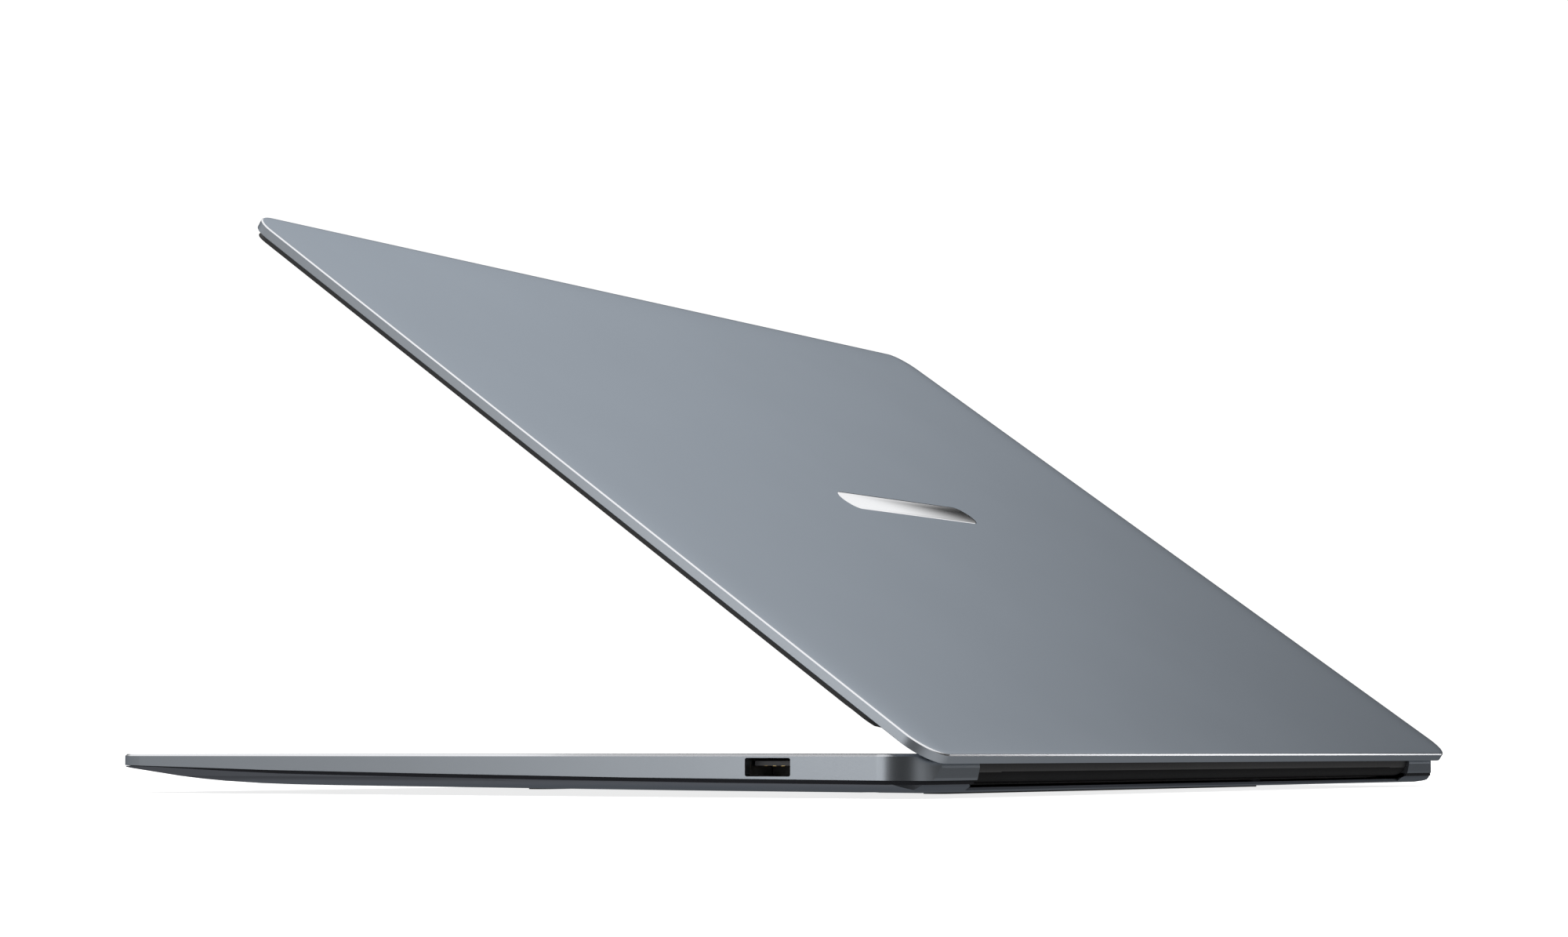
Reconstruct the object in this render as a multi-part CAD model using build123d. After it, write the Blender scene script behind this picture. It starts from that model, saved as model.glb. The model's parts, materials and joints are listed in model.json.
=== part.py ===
from build123d import *
import math
import os

# A thin 16-inch class clamshell laptop, lid partly open.
# X runs across the width (user's right is +X), Y towards the rear, Z up. Millimetres.
# The rest plane under the feet is z = 0.

# Body
WIDTH = 356.7
HALF = WIDTH / 2
DECK_Z = 10.2
DECK_T = 1.2
BASE_FRONT = -125.9
BASE_REAR = 122.4
BASE_CORNER_R = 11.5
WALL_T = 2.2
CAVITY_REAR = 108.0
COVER_T = 0.9
COVER_GAP = 0.2
EDGE_CHAMFER = 0.55

# Seam between side wall and bottom cover: (y, z)
SEAM = [
    (-125.9, 7.2),
    (-114.6, 7.1),
    (-82.0, 6.3),
    (-30.6, 5.45),
    (18.4, 4.8),
    (64.4, 4.35),
    (112.0, 4.08),
    (122.6, 4.0),
]
# Underside line from front to rear: (y, z)
UNDERSIDE = [
    (-125.4, 7.0),
    (-112.4, 5.85),
    (-105.4, 5.0),
    (-98.6, 4.22),
    (-91.7, 3.6),
    (-85.0, 3.12),
    (-71.6, 2.5),
    (-52.0, 2.15),
    (-8.0, 1.85),
    (39.0, 1.5),
    (84.0, 1.25),
    (117.0, 1.1),
]

# Hinge axis and lid
HINGE_Y = 116.7
HINGE_Z = 7.97
OPEN_DEG = 35.0
LID_DEPTH = 248.7
LID_OUTER = 7.13
LID_TAIL = 6.3
LID_T = 2.85
LID_SKIN = 0.9
LID_RIM = 0.8
LID_CORNER_R = 9.0
BEZEL_INSET = 1.45
BEZEL_FACE = 2.83
BARREL_R = 4.8
KNUCKLE_R = 4.2
SHAFT_R = 1.5
SHAFT_GAP = 0.06
RECESS_R = 5.3
RECESS_HALF = 148.4
BARREL_HALF = 134.4
ARM_IN = 134.8
ARM_OUT = 141.1
MOUNT_IN = 141.5
MOUNT_OUT = 147.8

# Keyboard
KEY_U = 16.4
ROW_PITCH = 17.0
KEY_GAP = 2.2
KEY_TOP = 10.1
KEY_H = 1.5
BLOCK_LEFT = -155.4
PAD_LEFT = 93.0
PAD_U = 15.6
ROW_Y = [92.0, 78.0, 61.0, 44.0, 27.0, 10.0]
FUNCTION_H = 9.0
WELL = (-157.0, 157.0, 0.4, 98.0)

# Touchpad and button
PAD_X = -28.0
PAD_Y = -70.0
PAD_W = 120.0
PAD_D = 80.0
BUTTON_X = 156.8
BUTTON_Y = 105.0

# Cooling
FAN_X = 96.0
FAN_Y = 72.0
FAN_R = 20.5

# Ports: centre along the side wall
USB_RIGHT_Y = 81.5
USB_LEFT_Y = 52.0
USB_C_Y = 93.5
HDMI_Y = 77.0
JACK_Y = 33.0
USB_W = 12.5
USB_H = 4.4
USB_Z = 7.1
HDMI_W = 14.4
HDMI_H = 4.6
HDMI_Z = 7.1
USB_C_W = 9.0
USB_C_H = 3.2
USB_C_Z = 6.9
JACK_R = 1.9
JACK_Z = 6.8


def slab(x0, x1, y0, y1, z0, z1):
    """Rectangular block between two corners."""
    body = Box(x1 - x0, y1 - y0, z1 - z0)
    return Pos((x0 + x1) / 2, (y0 + y1) / 2, (z0 + z1) / 2) * body


def rounded(x0, x1, y0, y1, z0, z1, r):
    """Block with rounded vertical corners."""
    outline = RectangleRounded(x1 - x0, y1 - y0, r)
    return Pos((x0 + x1) / 2, (y0 + y1) / 2, z0) * extrude(outline, z1 - z0)


def rod_x(x0, x1, y, z, r):
    """Round bar along X."""
    return Pos((x0 + x1) / 2, y, z) * Rot(0, 90, 0) * Cylinder(r, abs(x1 - x0))


def rod_z(x, y, z0, z1, r):
    """Round bar along Z."""
    return Pos(x, y, (z0 + z1) / 2) * Cylinder(r, z1 - z0)


def drawn_across(points, half):
    """Closed outline of (y, z) points drawn out to both sides of X = 0."""
    face = make_face(Polyline(*[(0, y, z) for y, z in points], close=True))
    return extrude(face, half, dir=(1, 0, 0), both=True)


def drawn_along(points, y0, y1):
    """Closed outline of (x, z) points drawn from y0 to y1."""
    face = make_face(Polyline(*[(x, y0, z) for x, z in points], close=True))
    return extrude(face, y1 - y0, dir=(0, 1, 0))


def curve_band(points, close_z):
    """Solid between a smooth line of (y, z) points and a level, across the width."""
    line = Spline(*[(0, y, z) for y, z in points])
    first = points[0]
    last = points[-1]
    a = Line((0, last[0], last[1]), (0, last[0], close_z))
    b = Line((0, last[0], close_z), (0, first[0], close_z))
    c = Line((0, first[0], close_z), (0, first[0], first[1]))
    face = make_face([line, a, b, c])
    return extrude(face, HALF + 5, dir=(1, 0, 0), both=True)


def in_lid(body):
    """Moves a body from lid coordinates (about the hinge axis) to its open place."""
    return Pos(0, HINGE_Y, HINGE_Z) * Rot(-OPEN_DEG, 0, 0) * body


def joined(pieces):
    """All pieces as one shape."""
    body = pieces[0]
    for piece in pieces[1:]:
        body = body + piece
    return body


def group(pieces):
    """Separate pieces kept side by side."""
    return Compound(children=[Solid(s.wrapped) for p in pieces for s in p.solids()])


# ---------------------------------------------------------------- base shell


def base_plan(inset, z0, z1):
    """Base outline seen from above, drawn between two heights."""
    r = BASE_CORNER_R - inset
    x = HALF - inset
    return rounded(-x, x, BASE_FRONT + inset, BASE_REAR - inset, z0, z1, r)


def screw_spots():
    """Places of the screws that hold the bottom cover: (x, y, underside z)."""
    spots = []
    for side in (-1, 1):
        spots.append((side * 168, 104.0, 1.3))
        spots.append((side * 170, 12.0, 1.85))
        spots.append((side * 150, -92.0, 3.6))
    spots.append((-101.0, -92.0, 3.6))
    spots.append((45.0, -92.0, 3.6))
    spots.append((-60.0, 104.5, 1.3))
    return spots


def side_openings():
    """Port cut-outs through the side walls."""
    edge = HALF + 1
    cuts = []
    for x, y, w, h, z, r in (
        (edge - 6, USB_RIGHT_Y, USB_W, USB_H, USB_Z, 0.5),
        (-edge, USB_LEFT_Y, USB_W, USB_H, USB_Z, 0.5),
        (-edge, HDMI_Y, HDMI_W, HDMI_H, HDMI_Z, 0.5),
        (-edge, USB_C_Y, USB_C_W, USB_C_H, USB_C_Z, 1.55),
    ):
        hole = Plane.YZ * extrude(RectangleRounded(w, h, r), 6)
        cuts.append(Pos(x, y, z) * hole)
    cuts.append(rod_x(-edge, -edge + 6, JACK_Y, JACK_Z, JACK_R))
    return cuts


def port_pockets():
    """Room for the port shells under the deck."""
    pockets = []
    for side, y, w, top in (
        (1, USB_RIGHT_Y, USB_W, 9.75),
        (-1, USB_LEFT_Y, USB_W, 9.75),
        (-1, HDMI_Y, HDMI_W, 9.8),
    ):
        x0 = side * 160.0
        x1 = side * (HALF - WALL_T)
        lo = min(x0, x1)
        hi = max(x0, x1)
        pockets.append(slab(lo, hi, y - w / 2 - 0.6, y + w / 2 + 0.6, 8.5, top))
    return pockets


def rear_recess():
    """Space between the corner blocks where the hinge barrel turns."""
    x = RECESS_HALF
    body = rod_x(-x, x, HINGE_Y, HINGE_Z, RECESS_R)
    return body + slab(-x, x, HINGE_Y, HINGE_Y + 12, -1, DECK_Z + 3)


def block_trim():
    """Cuts the rear face to a slightly crowned line that the lid swings past."""
    outline = [
        (BASE_REAR - 1.2, DECK_Z + 1),
        (BASE_REAR - 1.2, DECK_Z),
        (BASE_REAR - 0.1, DECK_Z - 0.9),
        (BASE_REAR, 7.0),
        (BASE_REAR - 0.5, 4.6),
        (BASE_REAR - 0.9, 3.5),
        (BASE_REAR - 0.9, 0),
        (BASE_REAR + 5, 0),
        (BASE_REAR + 5, DECK_Z + 1),
    ]
    return drawn_across(outline, HALF + 5)


def top_case():
    """Deck, side walls and rear corner blocks, milled from one piece."""
    body = base_plan(0, 2.0, DECK_Z)
    top_edges = body.edges().filter_by_position(Axis.Z, DECK_Z - 0.01, DECK_Z + 0.01)
    body = chamfer(top_edges, EDGE_CHAMFER)
    body = body & curve_band(SEAM, DECK_Z + 1)
    front = [
        (BASE_FRONT - 1, DECK_Z - EDGE_CHAMFER),
        (BASE_FRONT, DECK_Z - EDGE_CHAMFER),
        (BASE_FRONT + 1.6, 7.0),
        (BASE_FRONT + 1.6, 5.0),
        (BASE_FRONT - 1, 5.0),
    ]
    body = body - drawn_across(front, HALF + 5)
    body = body - block_trim()
    x = HALF - WALL_T
    cavity = rounded(-x, x, BASE_FRONT + 3.2, CAVITY_REAR, 0, DECK_Z - DECK_T, 5)
    cavity = cavity + slab(-RECESS_HALF, RECESS_HALF, 100, HINGE_Y, 0, DECK_Z - DECK_T)
    body = body - cavity
    body = body - rear_recess()
    body = body - slab(WELL[0], WELL[1], WELL[2], WELL[3], 5, 12)
    x = PAD_W / 2 + 0.4
    y = PAD_D / 2 + 0.4
    body = body - rounded(PAD_X - x, PAD_X + x, PAD_Y - y, PAD_Y + y, 5, 12, 4.4)
    x = BUTTON_X
    body = body - rounded(x - 7.8, x + 7.8, BUTTON_Y - 3.2, BUTTON_Y + 3.2, 5, 12, 3.15)
    for cut in side_openings() + port_pockets():
        body = body - cut
    finger = rod_x(-22, 22, BASE_FRONT - 5.2, DECK_Z + 2.6, 6.6)
    body = body - finger
    for x, y, z in screw_spots():
        body = body + rod_z(x, y, z + 2.9, DECK_Z - 0.8, 2.6)
        body = body - rod_z(x, y, z, 8.9, 1.1)
    return body


def cover_solid(t, top_z):
    """Bottom cover form, shrunk inwards by t on every outer side."""
    plan = base_plan(0.15 + t, 0, 12)
    under = [(y, z + t) for y, z in UNDERSIDE]
    rear = [
        (121.0 - t, 3.8),
        (119.7 - t, 2.5),
        (118.4 - t, 1.55),
        (117.0, 1.1 + t),
    ]
    line = Spline(*[(0, y, z) for y, z in under])
    tail = Polyline(*[(0, y, z) for y, z in reversed(rear)])
    start = under[0]
    edges = [line, tail]
    edges.append(Line((0, rear[0][0], rear[0][1]), (0, rear[0][0], top_z)))
    edges.append(Line((0, rear[0][0], top_z), (0, start[0], top_z)))
    edges.append(Line((0, start[0], top_z), (0, start[0], start[1])))
    side = extrude(make_face(edges), HALF + 5, dir=(1, 0, 0), both=True)
    x = HALF - 0.15 - t
    flank = [
        (x, 0, 4.4),
        (x - 0.5, 0, 3.3),
        (x - 2.2, 0, 2.25),
        (x - 5.4, 0, 1.45),
        (x - 10.5, 0, 1.05 + t),
    ]
    curve_r = Spline(*flank)
    curve_l = Spline(*[(-a, b, c) for a, b, c in flank])
    wires = [curve_r, curve_l]
    wires.append(Line(flank[-1], (-flank[-1][0], 0, flank[-1][2])))
    wires.append(Line(flank[0], (x, 0, 12)))
    wires.append(Line((x, 0, 12), (-x, 0, 12)))
    wires.append(Line((-x, 0, 12), (-x, 0, 4.4)))
    cross = extrude(make_face(wires), 150, dir=(0, 1, 0), both=True)
    return plan & side & cross


def intake_slots():
    """Air slots under the fan and sound slots under the speakers."""
    slots = []
    for i in range(18):
        x = FAN_X - 25.5 + 3.0 * i
        slots.append(rounded(x - 0.75, x + 0.75, 57, 79, 0, 4.5, 0.7))
    for side in (-1, 1):
        for i in range(9):
            x = side * (140 + 3.0 * i)
            slots.append(rounded(x - 0.7, x + 0.7, -66, -56, 0, 6, 0.65))
    return slots


def bottom_cover():
    """Curved underside tray with air slots."""
    outer = cover_solid(0, 9)
    top = [(y, z - COVER_GAP) for y, z in SEAM]
    top[0] = (top[0][0] - 2, top[0][1])
    body = outer - curve_band(top, 14)
    body = body - cover_solid(COVER_T, 11)
    x = RECESS_HALF
    body = body - slab(-x, x, 110, 130, 2.6, 9)
    body = body - slab(-x, x, 118.4, 130, 0, 9)
    for side in (-1, 1):
        wedge = [(side * 148.0, 5.0), (side * 157.0, 5.0), (side * 148.0, 2.5)]
        body = body - drawn_along(wedge, 113, 130)
    for slot in intake_slots():
        body = body - slot
    body = body - rounded(-70.1, 70.1, -65.6, -58.4, 0, 2.65, 3.5)
    body = body - rounded(-105.1, 105.1, 82.4, 89.6, 0, 1.5, 3.5)
    for x, y, z in screw_spots():
        body = body + rod_z(x, y, z + 0.5, z + 2.6, 3.4)
        body = body - rod_z(x, y, z - 2, z + 1.7, 2.5)
        body = body - rod_z(x, y, z - 2, z + 6, 1.25)
    return body


def bottom_screws():
    """Countersunk screws with a cross slot."""
    pieces = []
    for x, y, z in screw_spots():
        head = rod_z(x, y, z + 0.6, z + 1.6, 2.3)
        head = head - slab(x - 1.2, x + 1.2, y - 0.25, y + 0.25, z, z + 1.0)
        head = head - slab(x - 0.25, x + 0.25, y - 1.2, y + 1.2, z, z + 1.0)
        pieces.append(head + rod_z(x, y, z + 1.5, 8.6, 1.0))
    return group(pieces)


def front_foot():
    """Long rubber foot near the front."""
    return rounded(-70, 70, -65.5, -58.5, 0, 2.6, 3.4)


def rear_foot():
    """Long rubber foot near the rear."""
    return rounded(-105, 105, 82.5, 89.5, 0, 1.45, 3.4)


def hinge_trough():
    """Black wall behind the hinge barrel with exhaust slots."""
    x = 141.0
    ring = rod_x(-x, x, HINGE_Y, HINGE_Z, 6.0) - rod_x(-x, x, HINGE_Y, HINGE_Z, RECESS_R)
    keep = slab(-x, x, HINGE_Y - 7, HINGE_Y - 2.6, 2.75, DECK_Z - DECK_T - 0.05)
    body = ring & keep
    for i in range(32):
        px = 70 + 1.6 * i
        body = body - slab(px - 0.45, px + 0.45, 105, 114, 3.4, 8.0)
    return body


# ---------------------------------------------------------------- keyboard


def keycap(x, y, w, d):
    """One key with slightly drawn-in sides and a soft top edge."""
    foot = RectangleRounded(w, d, 1.3)
    body = extrude(foot, KEY_H - 0.35)
    crown = Pos(0, 0, KEY_H - 0.35) * extrude(foot, 0.35, taper=35)
    return Pos(x, y, KEY_TOP - KEY_H) * (body + crown)


def key_row(row, units, first, last):
    """Keys of one main-block row, by index."""
    depth = FUNCTION_H if row == 0 else ROW_PITCH - KEY_GAP
    keys = []
    x = BLOCK_LEFT
    for i, u in enumerate(units):
        if first <= i <= last:
            keys.append(keycap(x + u * KEY_U / 2, ROW_Y[row], u * KEY_U - KEY_GAP, depth))
        x = x + u * KEY_U
    return keys


NUMBER_UNITS = [1] * 13 + [2]
UPPER_UNITS = [1.5] + [1] * 12 + [1.5]
HOME_UNITS = [1.75] + [1] * 11 + [2.25]
LOWER_UNITS = [2.25] + [1] * 10 + [2.75]
BOTTOM_UNITS = [1.25, 1, 1, 1.25, 5.25, 1, 1.25, 1, 1, 1]


def arrow_keys():
    """Four arrows, the middle pair half high."""
    x = BLOCK_LEFT + 12 * KEY_U
    w = KEY_U - KEY_GAP
    y = ROW_Y[5]
    half = (ROW_PITCH - KEY_GAP - 0.8) / 2
    keys = [keycap(x + KEY_U / 2, y - 3.9, w, half)]
    keys.append(keycap(x + 1.5 * KEY_U, y - 3.9, w, half))
    keys.append(keycap(x + 1.5 * KEY_U, y + 3.9, w, half))
    keys.append(keycap(x + 2.5 * KEY_U, y - 3.9, w, half))
    return keys


def number_pad():
    """Four columns at the right, with two tall keys and one wide one."""
    w = PAD_U - KEY_GAP
    d = ROW_PITCH - KEY_GAP
    cx = [PAD_LEFT + PAD_U * (i + 0.5) for i in range(4)]
    keys = [keycap(x, ROW_Y[0], w, FUNCTION_H) for x in cx]
    keys = keys + [keycap(x, ROW_Y[1], w, d) for x in cx]
    for row in (2, 3, 4):
        keys = keys + [keycap(x, ROW_Y[row], w, d) for x in cx[:3]]
    tall = ROW_PITCH + d
    keys.append(keycap(cx[3], (ROW_Y[2] + ROW_Y[3]) / 2, w, tall))
    keys.append(keycap(cx[3], (ROW_Y[4] + ROW_Y[5]) / 2, w, tall))
    keys.append(keycap((cx[0] + cx[1]) / 2, ROW_Y[5], w + PAD_U, d))
    keys.append(keycap(cx[2], ROW_Y[5], w, d))
    return keys


def modifier_keys():
    """Small keys either side of the space bar."""
    left = key_row(5, BOTTOM_UNITS, 0, 3)
    return left + key_row(5, BOTTOM_UNITS, 5, 6)


def keyboard_tray():
    """Black tray that closes the keyboard well from below."""
    x0, x1, y0, y1 = WELL
    body = slab(x0 - 1.4, x1 + 1.4, y0 - 1.4, y1 + 1.4, 5.95, DECK_Z - DECK_T - 0.05)
    return body - slab(x0 - 0.3, x1 + 0.3, y0 - 0.3, y1 + 0.3, 6.45, 12)


def keyboard_membrane():
    """Rubber sheet with a low dome under each key column."""
    x0, x1, y0, y1 = WELL
    body = slab(x0 + 1, x1 - 1, y0 + 1, y1 - 1, 6.5, 6.9)
    for row in range(6):
        for i in range(15):
            x = BLOCK_LEFT + (i + 0.5) * KEY_U
            body = body + rod_z(x, ROW_Y[row], 6.8, 7.1, 2.6)
        for i in range(4):
            x = PAD_LEFT + PAD_U * (i + 0.5)
            body = body + rod_z(x, ROW_Y[row], 6.8, 7.1, 2.6)
    return body


def touchpad():
    """Glass-topped click pad, turning about its rear edge."""
    x = PAD_W / 2
    y = PAD_D / 2
    plate = rounded(PAD_X - x, PAD_X + x, PAD_Y - y, PAD_Y + y, 9.1, DECK_Z - 0.1, 4.0)
    return plate


def touchpad_board():
    """Sensor board with its click switch under the touchpad."""
    x0 = PAD_X - 50
    x1 = PAD_X + 50
    body = slab(x0, x1, PAD_Y - 30, PAD_Y + 30, 8.3, 9.05)
    body = body + slab(PAD_X - 4, PAD_X + 4, PAD_Y - 26, PAD_Y - 20, 7.9, 8.4)
    return body + slab(PAD_X - 30, PAD_X - 14, PAD_Y + 6, PAD_Y + 20, 7.9, 8.4)


def power_button():
    """Pill-shaped button with a flange below the deck."""
    x = BUTTON_X
    y = BUTTON_Y
    cap = rounded(x - 7.5, x + 7.5, y - 2.9, y + 2.9, 8.2, DECK_Z - 0.1, 2.85)
    return cap + slab(x - 8.0, x + 8.0, y - 2.9, y + 2.9, 7.9, 8.45)


# ---------------------------------------------------------------- inside the base


def main_board():
    """Main circuit board with small parts on its underside."""
    body = slab(-128, 66, 40, 98, 4.9, 5.7)
    body = body - rod_z(-122, 92, 4, 6.5, 1.4) - rod_z(-122, 46, 4, 6.5, 1.4)
    body = body - rod_z(58, 46, 4, 6.5, 1.4)
    for i in range(10):
        x = -18 + 4.2 * i
        body = body + slab(x, x + 3, 46.5, 49.5, 3.7, 4.95)
    for i in range(6):
        y = 52 + 6 * i
        body = body + slab(34, 39, y, y + 4, 3.7, 4.95)
    body = body + slab(-60, -36, 42, 46, 3.4, 4.95)
    body = body + slab(44, 62, 84, 92, 3.4, 4.95)
    return body


def processor():
    """Processor package and die."""
    return slab(-18, 16, 58, 82, 4.5, 4.85) + slab(-9, 7, 62, 78, 4.05, 4.55)


def memory_chips():
    """Soldered memory packages."""
    pieces = []
    for i in range(4):
        pieces.append(slab(20, 31, 53 + 9 * i, 60 + 9 * i, 3.9, 4.85))
    return group(pieces)


def heat_pipe():
    """Cold plate and flattened pipe to the fins."""
    plate = rounded(-16, 14, 56, 84, 3.6, 4.0, 2)
    run = rounded(-8, 0, 60, 107, 2.75, 3.65, 3.5)
    across = rounded(-8, 118, 99.5, 107, 2.75, 3.65, 3.5)
    return plate + run + across


def heatsink_fins():
    """Stack of thin fins at the fan outlet."""
    body = slab(70, 122, 99.6, 107.6, 3.7, 4.0) + slab(70, 122, 99.6, 107.6, 5.4, 5.7)
    for i in range(36):
        x = 70.2 + 1.47 * i
        body = body + slab(x, x + 0.3, 99.6, 107.6, 3.9, 5.5)
    return body


def fan_housing():
    """Flat blower case with a bearing post."""
    outer = rounded(FAN_X - 26, FAN_X + 26, FAN_Y - 25, FAN_Y + 27, 2.6, 5.7, 3)
    inner = rod_z(FAN_X, FAN_Y, 3.0, 5.3, FAN_R + 1.8)
    inner = inner + slab(FAN_X - 22, FAN_X + 22, FAN_Y + 4, FAN_Y + 28, 3.0, 5.3)
    body = outer - inner
    body = body - rod_z(FAN_X, FAN_Y, 2.0, 3.2, 15.5)
    for k in range(3):
        arm = Pos(0, 8, 2.8) * Box(3, 17, 0.4)
        body = body + Pos(FAN_X, FAN_Y, 0) * Rot(0, 0, 120 * k + 30) * arm
    body = body + rod_z(FAN_X, FAN_Y, 2.6, 3.0, 5.5)
    return body + rod_z(FAN_X, FAN_Y, 2.9, 4.4, 1.5)


def fan_impeller():
    """Hub with thin swept blades."""
    hub = rod_z(FAN_X, FAN_Y, 3.35, 5.0, 8.0)
    hub = hub - rod_z(FAN_X, FAN_Y, 3.0, 4.5, 1.5 + SHAFT_GAP)
    for k in range(25):
        blade = Pos(13.7, 0, 4.2) * Rot(0, 0, 22) * Box(13, 0.45, 1.5)
        hub = hub + Pos(FAN_X, FAN_Y, 0) * Rot(0, 0, 14.4 * k) * blade
    return hub


def solid_state_drive():
    """Stick-shaped drive with chips."""
    body = slab(-114, -34, 60, 82, 3.7, 4.5)
    body = body + slab(-108, -92, 63, 79, 2.8, 3.75) + slab(-88, -72, 63, 79, 2.8, 3.75)
    return body + slab(-62, -52, 66, 76, 2.9, 3.75)


def wireless_card():
    """Small radio card under a shield can."""
    body = slab(-106, -84, 86, 97, 3.7, 4.5)
    body = body + rounded(-104, -88, 87, 96, 2.8, 3.75, 0.8)
    return body + rod_z(-86, 89, 2.9, 3.75, 0.9)


def battery_pack():
    """Five flat cells joined by a protection strip."""
    body = slab(-126, 126, -14, -9.5, 4.4, 5.6)
    for i in range(5):
        x0 = -126 + 50.6 * i
        body = body + rounded(x0, x0 + 49.6, -80, -13.5, 4.3, 7.2, 2.0)
    return body


def speaker(side):
    """Speaker box with its driver."""
    x0, x1 = sorted((side * 133, side * 170))
    body = rounded(x0, x1, -82, -18, 4.6, 8.6, 3)
    cx = side * 152
    body = body - rod_z(cx, -61, 4.0, 5.0, 9.0)
    return body + rod_z(cx, -61, 4.75, 5.1, 6.5)


def io_boards():
    """Carrier boards under the port sockets at both sides."""
    left = slab(-172, -131, 26, 99.5, 3.7, 4.5)
    right = slab(131, 172, 58, 98, 3.7, 4.5)
    return group([left, right])


def usb_shell(side, y):
    """Sheet-metal shell of one standard rectangular socket."""
    x0 = HALF - WALL_T - 0.1
    outer = slab(x0 - 13, x0, y - 6.55, y + 6.55, USB_Z - 2.5, USB_Z + 2.5)
    inner = slab(x0 - 12.6, x0 + 1, y - 6.25, y + 6.25, USB_Z - 2.2, USB_Z + 2.2)
    body = outer - inner
    return body if side > 0 else mirror(body, about=Plane.YZ)


def usb_a_shells():
    """Right-hand and left-hand rectangular sockets."""
    return group([usb_shell(1, USB_RIGHT_Y), usb_shell(-1, USB_LEFT_Y)])


def usb_tongue(side, y):
    """Contact tongue inside one rectangular socket."""
    x0 = HALF - WALL_T - 0.1
    body = slab(x0 - 12.4, x0 - 1.5, y - 5.7, y + 5.7, USB_Z + 0.35, USB_Z + 1.45)
    body = body + slab(x0 - 12.5, x0 - 10.5, y - 6.1, y + 6.1, USB_Z - 2.0, USB_Z + 2.0)
    for k in range(4):
        py = y - 3.6 + 2.4 * k
        body = body + slab(x0 - 10, x0 - 3, py - 0.5, py + 0.5, USB_Z + 0.25, USB_Z + 0.4)
    return body if side > 0 else mirror(body, about=Plane.YZ)


def usb_a_tongues():
    """Contact tongues of both rectangular sockets."""
    return group([usb_tongue(1, USB_RIGHT_Y), usb_tongue(-1, USB_LEFT_Y)])


def usb_c_socket():
    """Small oval socket."""
    x0 = -(HALF - WALL_T - 0.1)
    outer = Plane.YZ * extrude(RectangleRounded(USB_C_W, USB_C_H, 1.55), 8)
    inner = Plane.YZ * extrude(RectangleRounded(USB_C_W - 0.6, USB_C_H - 0.6, 1.25), 8)
    body = Pos(x0, USB_C_Y, USB_C_Z) * outer
    body = body - Pos(x0 - 0.6, USB_C_Y, USB_C_Z) * inner
    tongue = slab(x0 + 1, x0 + 7.8, USB_C_Y - 3.2, USB_C_Y + 3.2, USB_C_Z - 0.35, USB_C_Z + 0.35)
    return body + tongue


def hdmi_socket():
    """Wide display socket with a centre tongue."""
    x0 = -(HALF - WALL_T - 0.1)
    y = HDMI_Y
    z = HDMI_Z
    body = slab(x0, x0 + 11, y - 7.5, y + 7.5, z - 2.55, z + 2.55)
    body = body - slab(x0 - 1, x0 + 10, y - 7.1, y + 7.1, z - 2.2, z + 2.2)
    return body + slab(x0 + 1.5, x0 + 10.5, y - 5.6, y + 5.6, z - 0.45, z + 0.45)


def audio_jack():
    """Round jack barrel."""
    x0 = -(HALF - WALL_T - 0.1)
    body = slab(x0, x0 + 11, JACK_Y - 3, JACK_Y + 3, 4.6, 8.95)
    return body - rod_x(x0 - 1, x0 + 10, JACK_Y, JACK_Z, 1.8)


def board_screws():
    """Short screws through the main board."""
    pieces = []
    for x, y in ((-122, 92), (-122, 46), (58, 46)):
        pieces.append(rod_z(x, y, 4.1, 4.8, 2.2) + rod_z(x, y, 4.7, 5.8, 1.1))
    for side in (-1, 1):
        for x in (122, 131):
            pieces.append(rod_z(side * x, 105.5, 6.6, 7.3, 2.0))
    return group(pieces)


def touchpad_cable():
    """Flat ribbon between main board and touchpad."""
    x = PAD_X
    body = slab(x - 6, x + 6, -7.0, 39.5, 5.7, 5.85)
    body = body + slab(x - 6, x + 6, -7.15, -7.0, 5.7, 7.65)
    return body + slab(x - 6, x + 6, -60, -7.0, 7.5, 7.65)


def hinge_mount(side):
    """Fixed half of a hinge: plate under the deck and a bored knuckle."""
    plate = slab(118, MOUNT_OUT, 101.0, 110.5, 7.4, 8.9)
    tail = slab(MOUNT_IN, MOUNT_OUT, 109.5, HINGE_Y, 6.0, 8.9)
    knuckle = rod_x(MOUNT_IN, MOUNT_OUT, HINGE_Y, HINGE_Z, KNUCKLE_R)
    body = plate + tail + knuckle
    body = body - rod_x(MOUNT_IN - 1, MOUNT_OUT + 1, HINGE_Y, HINGE_Z, SHAFT_R + SHAFT_GAP)
    return body if side > 0 else mirror(body, about=Plane.YZ)


# ---------------------------------------------------------------- lid, about the hinge axis


def lid_plan(inset, z0, z1, r):
    """Lid outline drawn between two distances from the axis."""
    x = HALF - inset
    return rounded(-x, x, LID_TAIL - LID_DEPTH + inset, LID_TAIL - inset, z0, z1, r)


def lid_cover():
    """Thin metal lid shell with a rim all round."""
    inner_z = LID_OUTER - LID_T
    body = lid_plan(0, inner_z, LID_OUTER, LID_CORNER_R)
    edges = body.edges().filter_by_position(Axis.Z, LID_OUTER - 0.01, LID_OUTER + 0.01)
    body = chamfer(edges, 0.5)
    r = LID_CORNER_R - LID_RIM
    body = body - lid_plan(LID_RIM, inner_z - 1, LID_OUTER - LID_SKIN, r)
    body = body - emblem_form(39.1, 4.6, LID_OUTER - 0.12, LID_OUTER + 1)
    return in_lid(body)


def emblem_form(half_x, half_y, z0, z1):
    """Slim rounded bar at the middle of the lid."""
    y = LID_TAIL - 125.8
    return rounded(-half_x, half_x, y - half_y, y + half_y, z0, z1, half_y - 0.02)


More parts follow.
